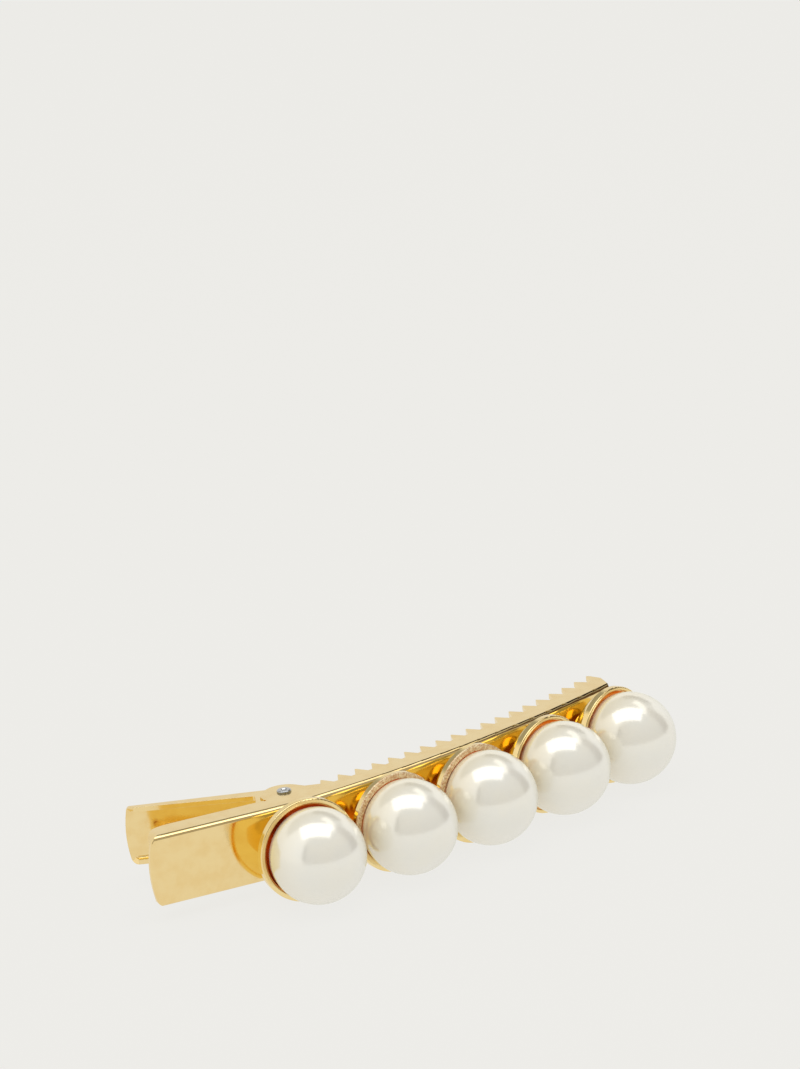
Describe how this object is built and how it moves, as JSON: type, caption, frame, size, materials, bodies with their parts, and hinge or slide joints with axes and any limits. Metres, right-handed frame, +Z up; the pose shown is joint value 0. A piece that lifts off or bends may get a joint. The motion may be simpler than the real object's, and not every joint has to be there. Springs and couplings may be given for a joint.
{
  "type": "hair barrette clip",
  "caption": "Sprung hair barrette: gold-plated toothed arms on a riveted hinge, round pearls in cups along the curved front arm.",
  "frame": {"origin": "middle of the footprint, on the table that the clip lies on its side on", "axes": "+X along the straight handle towards the jaw's tip, +Y from the pearls towards the rear arm, +Z up along the hinge pin"},
  "size_m": [0.0754, 0.0335, 0.0131],
  "materials": {
    "gold_plate": "polished gold plating on pressed brass sheet",
    "gold_cup": "polished gold plating, soldered cups",
    "steel_pin": "bright steel rivet",
    "spring_wire": "drawn spring wire",
    "pearl_nacre": "pearlescent ivory coating"
  },
  "bodies": {
    "front": {"front_arm": "gold_plate", "hinge_pin": "steel_pin", "torsion_spring": "spring_wire", "pearl_cup_1": "gold_cup", "pearl_post_1": "gold_cup", "pearl_1": "pearl_nacre", "pearl_cup_2": "gold_cup", "pearl_post_2": "gold_cup", "pearl_2": "pearl_nacre", "pearl_cup_3": "gold_cup", "pearl_post_3": "gold_cup", "pearl_3": "pearl_nacre", "pearl_cup_4": "gold_cup", "pearl_post_4": "gold_cup", "pearl_4": "pearl_nacre", "pearl_cup_5": "gold_cup", "pearl_post_5": "gold_cup", "pearl_5": "pearl_nacre"},
    "rear": {"rear_arm": "gold_plate"}
  },
  "joints": [
    {"name": "rear_arm_hinge", "type": "hinge", "parent": "front", "child": "rear", "pos_m": [-0.0174, 0.00141, 0.00656], "axis": [0, 0, 1], "range_deg": [0, 32], "deforming": ["torsion_spring"]}
  ]
}
